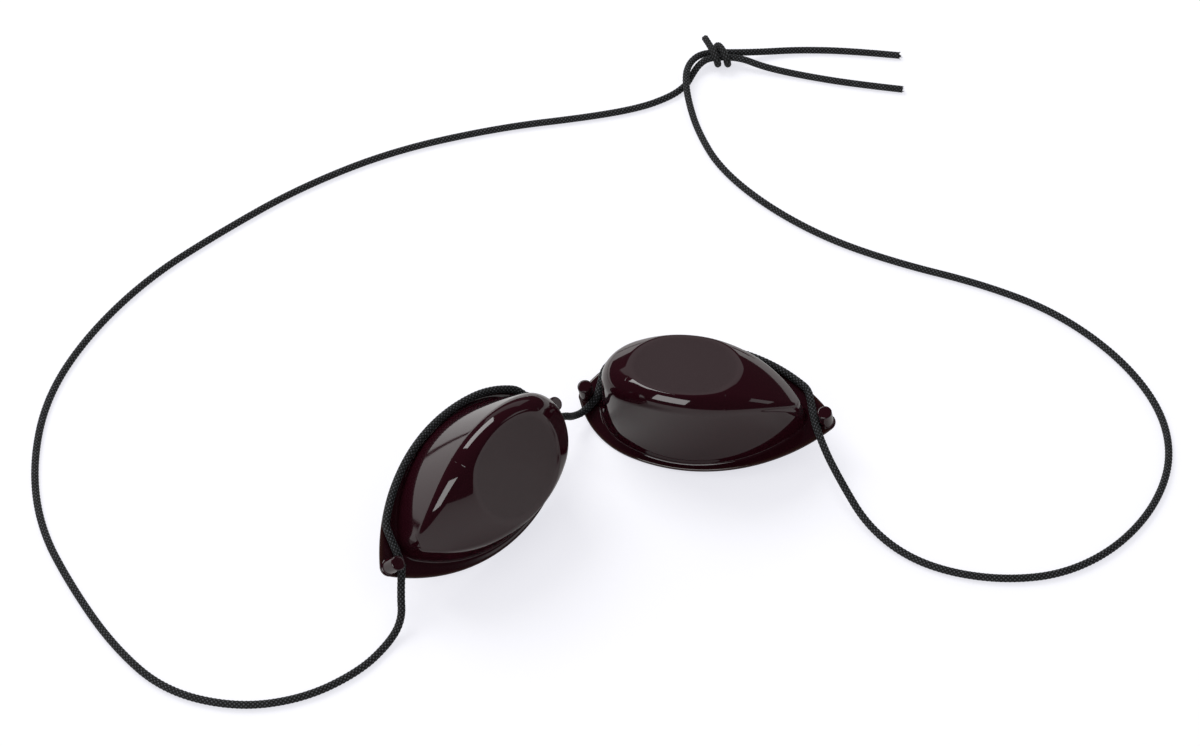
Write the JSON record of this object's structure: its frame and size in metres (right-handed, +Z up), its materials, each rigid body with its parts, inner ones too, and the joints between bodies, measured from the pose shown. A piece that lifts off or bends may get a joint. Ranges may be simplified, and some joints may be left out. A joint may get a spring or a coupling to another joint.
{
  "type": "tanning goggles",
  "caption": "Tanning goggles: domed dark eye cups with flat round lenses, laced at their posts on a round elastic head cord with a sliding knot.",
  "frame": {"origin": "centre of the bottom of the box round both eye cups as they lie, on the table", "axes": "+Z up, +X to the right as the pair is seen from the front, +Y away from the viewer, towards the knot"},
  "size_m": [0.2788, 0.2231, 0.0357],
  "materials": {
    "tinted_plastic": "glossy dark tinted moulding",
    "elastic_cord": "matt braided cover over a rubber core",
    "knot_cord": "matt braided cord"
  },
  "bodies": {
    "right_cup": {"right_eye_cup": "tinted_plastic", "right_rim_cord": "elastic_cord", "right_band_cord": "elastic_cord", "left_band_cord": "elastic_cord", "upper_tail_cord": "elastic_cord", "lower_tail_cord": "elastic_cord"},
    "nose_bridge": {"bridge_cord": "elastic_cord"},
    "left_cup": {"left_eye_cup": "tinted_plastic", "left_rim_cord": "elastic_cord"},
    "knot": {"slide_knot": "knot_cord"}
  },
  "joints": [
    {"name": "nose_gap", "type": "slide", "parent": "right_cup", "child": "nose_bridge", "axis": [-0.6521, -0.7581, 0], "range_m": [-0.004, 0.008], "deforming": ["bridge_cord", "left_band_cord"]},
    {"name": "nose_swing", "type": "hinge", "parent": "nose_bridge", "child": "left_cup", "pos_m": [-0.01635, 0.01438, 0.0113], "axis": [0, 0, 1], "range_deg": [-40, 25]},
    {"name": "knot_slide", "type": "slide", "parent": "right_cup", "child": "knot", "axis": [1, 0, 0], "range_m": [-0.003, 0.025], "deforming": ["right_band_cord", "upper_tail_cord", "lower_tail_cord"]}
  ]
}
